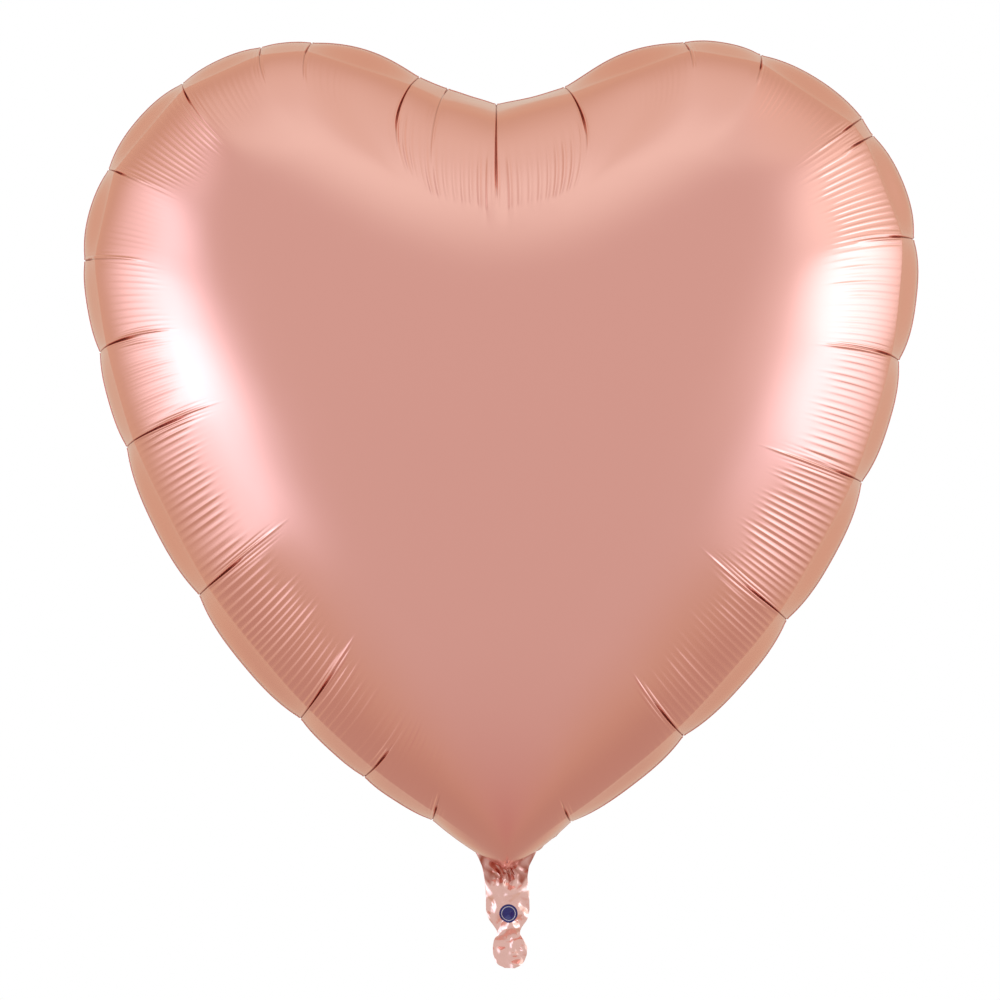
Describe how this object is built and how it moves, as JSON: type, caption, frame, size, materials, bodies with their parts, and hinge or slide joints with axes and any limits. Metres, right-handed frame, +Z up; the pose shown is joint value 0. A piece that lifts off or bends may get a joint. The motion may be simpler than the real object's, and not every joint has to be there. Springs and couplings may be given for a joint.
{
  "type": "heart-shaped foil balloon",
  "caption": "Inflated heart-shaped balloon of metallised film with a gathered neck, a flat filling tail and a self-sealing valve inside.",
  "frame": {"origin": "middle of the gathered neck, where a ribbon is tied, on the plane where the two panels are welded together", "axes": "+Z up from the neck through the heart, +X to the right seen from the front, the front panel faces -Y"},
  "size_m": [0.7, 0.3872, 0.7813],
  "materials": {
    "metallised_film": "satin rose gold, mirror-like with fine puckers along the weld",
    "clear_valve_film": "clear, slightly milky film",
    "release_coating": "thin matt coating",
    "blue_ink": "printed ink, glossy"
  },
  "bodies": {
    "envelope": {"front_panel": "metallised_film", "back_panel": "metallised_film", "valve_front_film": "clear_valve_film", "valve_back_film": "clear_valve_film", "release_coating": "release_coating"},
    "tail": {"tail_front_film": "metallised_film", "tail_back_film": "metallised_film", "valve_mouth_front_film": "clear_valve_film", "valve_mouth_back_film": "clear_valve_film", "printed_mark": "blue_ink"},
    "tail_tip": {"tip_front_film": "metallised_film", "tip_back_film": "metallised_film"}
  },
  "joints": [
    {"name": "neck_fold", "type": "hinge", "parent": "envelope", "child": "tail", "pos_m": [0, 0, -0.014], "axis": [1, 0, 0], "range_deg": [-90, 90]},
    {"name": "waist_fold", "type": "hinge", "parent": "tail", "child": "tail_tip", "pos_m": [0, 0, -0.054], "axis": [1, 0, 0], "range_deg": [-60, 60]}
  ]
}
